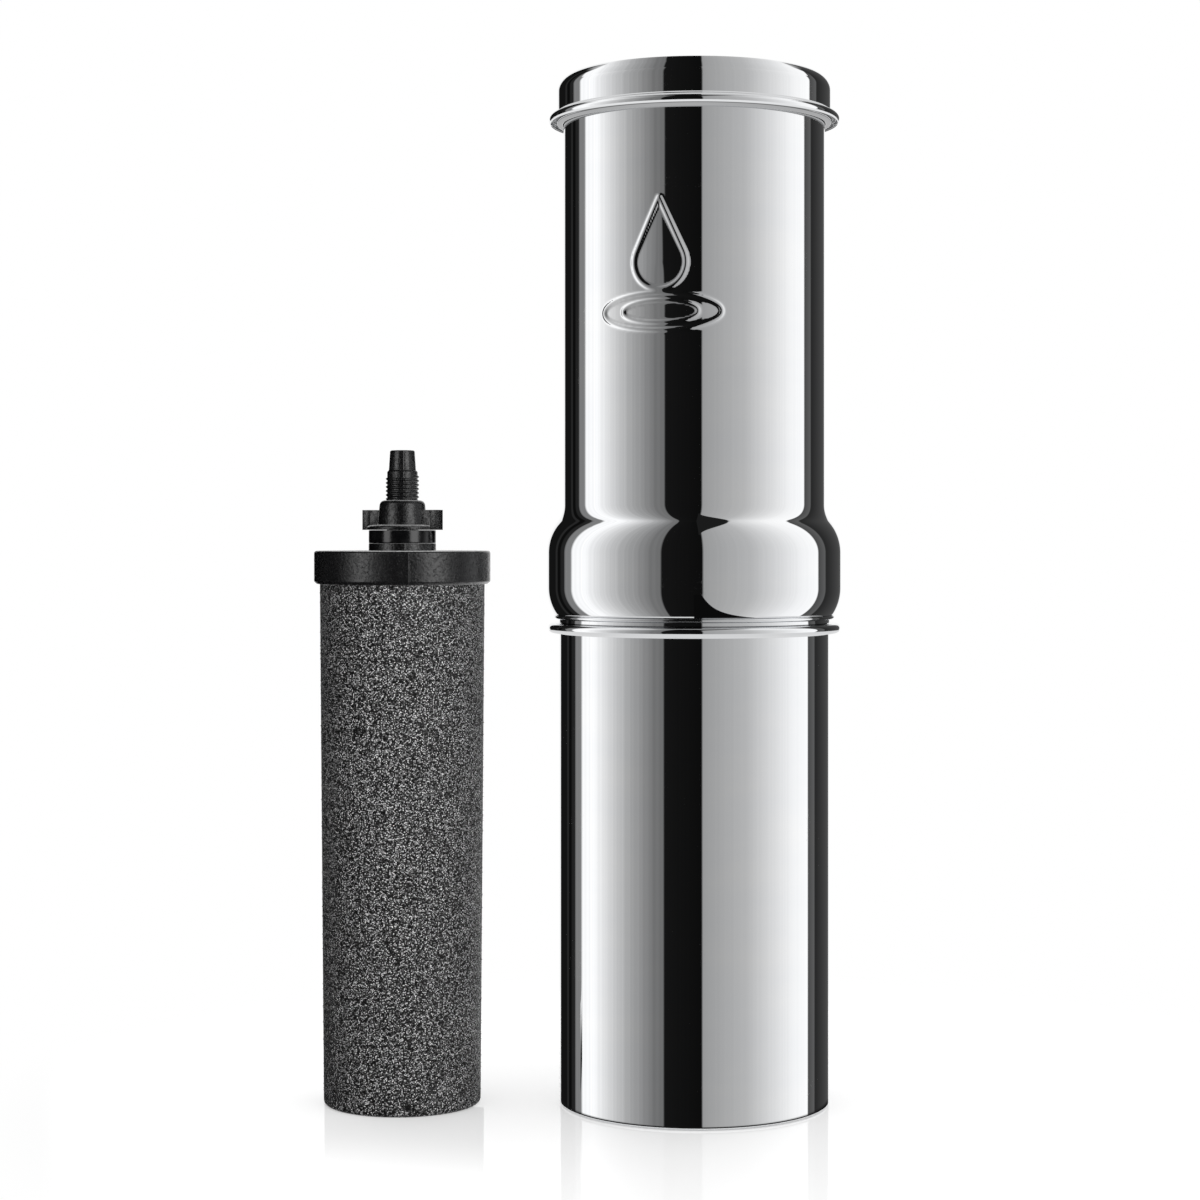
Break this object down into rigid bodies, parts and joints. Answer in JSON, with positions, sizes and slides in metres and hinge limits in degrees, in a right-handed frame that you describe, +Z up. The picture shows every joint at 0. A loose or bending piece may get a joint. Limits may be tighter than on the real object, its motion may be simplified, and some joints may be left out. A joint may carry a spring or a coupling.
{
  "type": "gravity water filter",
  "caption": "Two stacked steel chambers with a lid, a carbon cartridge through the upper floor, a lever tap at the back, and a spare cartridge standing beside them.",
  "frame": {"origin": "centre of the lower chamber's flat underside, on the surface it stands on", "axes": "+Z up along the chambers' axis, +Y towards the tap at the back, the spare cartridge on -X"},
  "size_m": [0.196, 0.1418, 0.3823],
  "materials": {
    "polished_steel": "mirror-polished stainless steel",
    "black_plastic": "glossy moulded black",
    "carbon_block": "matte sintered grain",
    "core_plastic": "porous white",
    "black_rubber": "smooth black rubber",
    "silicone": "translucent white silicone",
    "wire_steel": "drawn and turned stainless steel"
  },
  "bodies": {
    "lower_chamber": {"lower_chamber": "polished_steel", "tap_body": "black_plastic", "tap_outer_washer": "black_rubber", "tap_inner_washer": "black_rubber", "tap_jam_nut": "black_plastic", "tap_bonnet": "black_plastic", "tap_gland_ring": "black_rubber", "tap_lever_pin": "wire_steel", "tap_spring": "wire_steel"},
    "upper_chamber": {"upper_chamber": "polished_steel", "upper_floor": "polished_steel", "fitted_carbon_block": "carbon_block", "fitted_core_tube": "core_plastic", "fitted_end_cap": "black_plastic", "fitted_washer": "black_rubber"},
    "fitted_wing_nut": {"fitted_wing_nut": "black_plastic"},
    "lid": {"lid": "polished_steel"},
    "spare_cartridge": {"spare_carbon_block": "carbon_block", "spare_core_tube": "core_plastic", "spare_end_cap": "black_plastic", "spare_washer": "black_rubber"},
    "spare_wing_nut": {"spare_wing_nut": "black_plastic"},
    "tap_lever": {"tap_lever": "black_plastic"},
    "tap_valve": {"tap_stem": "wire_steel", "tap_stem_pin": "wire_steel", "tap_seat_cup": "silicone"}
  },
  "joints": [
    {"name": "upper_chamber_lift", "type": "slide", "parent": "lower_chamber", "child": "upper_chamber", "axis": [0, 0, 1], "range_m": [0, 0.09]},
    {"name": "lid_lift", "type": "slide", "parent": "upper_chamber", "child": "lid", "axis": [0, 0, 1], "range_m": [0, 0.06]},
    {"name": "fitted_nut_turn", "type": "hinge", "parent": "upper_chamber", "child": "fitted_wing_nut", "pos_m": [0, 0, 0.16], "axis": [0, 0, 1], "continuous": true},
    {"name": "spare_cartridge_lift", "type": "slide", "parent": "lower_chamber", "child": "spare_cartridge", "axis": [0, 0, 1], "range_m": [0, 0.06]},
    {"name": "spare_nut_turn", "type": "hinge", "parent": "spare_cartridge", "child": "spare_wing_nut", "pos_m": [-0.1086, 0, 0.217], "axis": [0, 0, 1], "continuous": true},
    {"name": "tap_lever_tilt", "type": "hinge", "parent": "lower_chamber", "child": "tap_lever", "pos_m": [0, 0.08075, 0.0524], "axis": [-1, 0, 0], "range_deg": [0, 40], "stiffness_Nm_per_rad": 0.033, "springref_deg": -51.57},
    {"name": "tap_valve_lift", "type": "slide", "parent": "lower_chamber", "child": "tap_valve", "axis": [0, 0, 1], "range_m": [0, 0.00447], "deforming": ["tap_spring"]}
  ],
  "couplings": [
    {"joint": "tap_valve_lift", "follows": "tap_lever_tilt", "m_per_rad": 0.0064}
  ]
}
